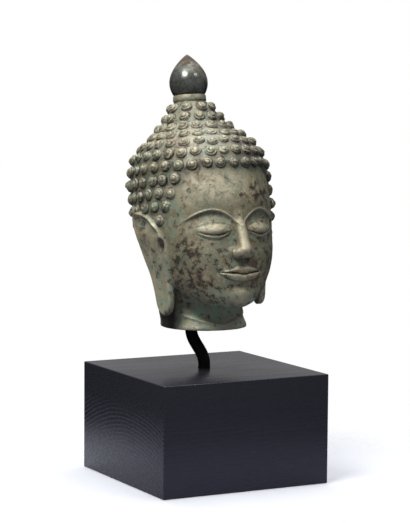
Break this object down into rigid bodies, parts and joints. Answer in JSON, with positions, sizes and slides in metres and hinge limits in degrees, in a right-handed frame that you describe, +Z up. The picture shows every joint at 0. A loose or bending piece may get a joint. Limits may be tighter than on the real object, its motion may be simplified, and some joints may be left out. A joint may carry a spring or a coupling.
{
  "type": "mounted bronze head",
  "caption": "Bronze Buddha head with tightly curled hair, long ear lobes and a lotus-bud finial, held by a bent steel rod on a black wooden block.",
  "frame": {"origin": "centre of the wooden block's underside, the face that the stand rests on", "axes": "+Z up, the face looks along -Y, the figure's left is +X"},
  "size_m": [0.15, 0.1531, 0.348],
  "materials": {
    "bronze": "cast bronze with an old grey-green patina, pale green in the hollows and brown spots",
    "dark_bronze": "dark smooth bronze with a soft sheen and a browner tip",
    "black_steel": "blackened steel rod, satin",
    "black_wood": "wooden block in thin black satin paint that lets the grain show"
  },
  "bodies": {
    "root": {"head": "bronze", "finial": "dark_bronze", "rod": "black_steel", "block": "black_wood"}
  },
  "joints": []
}
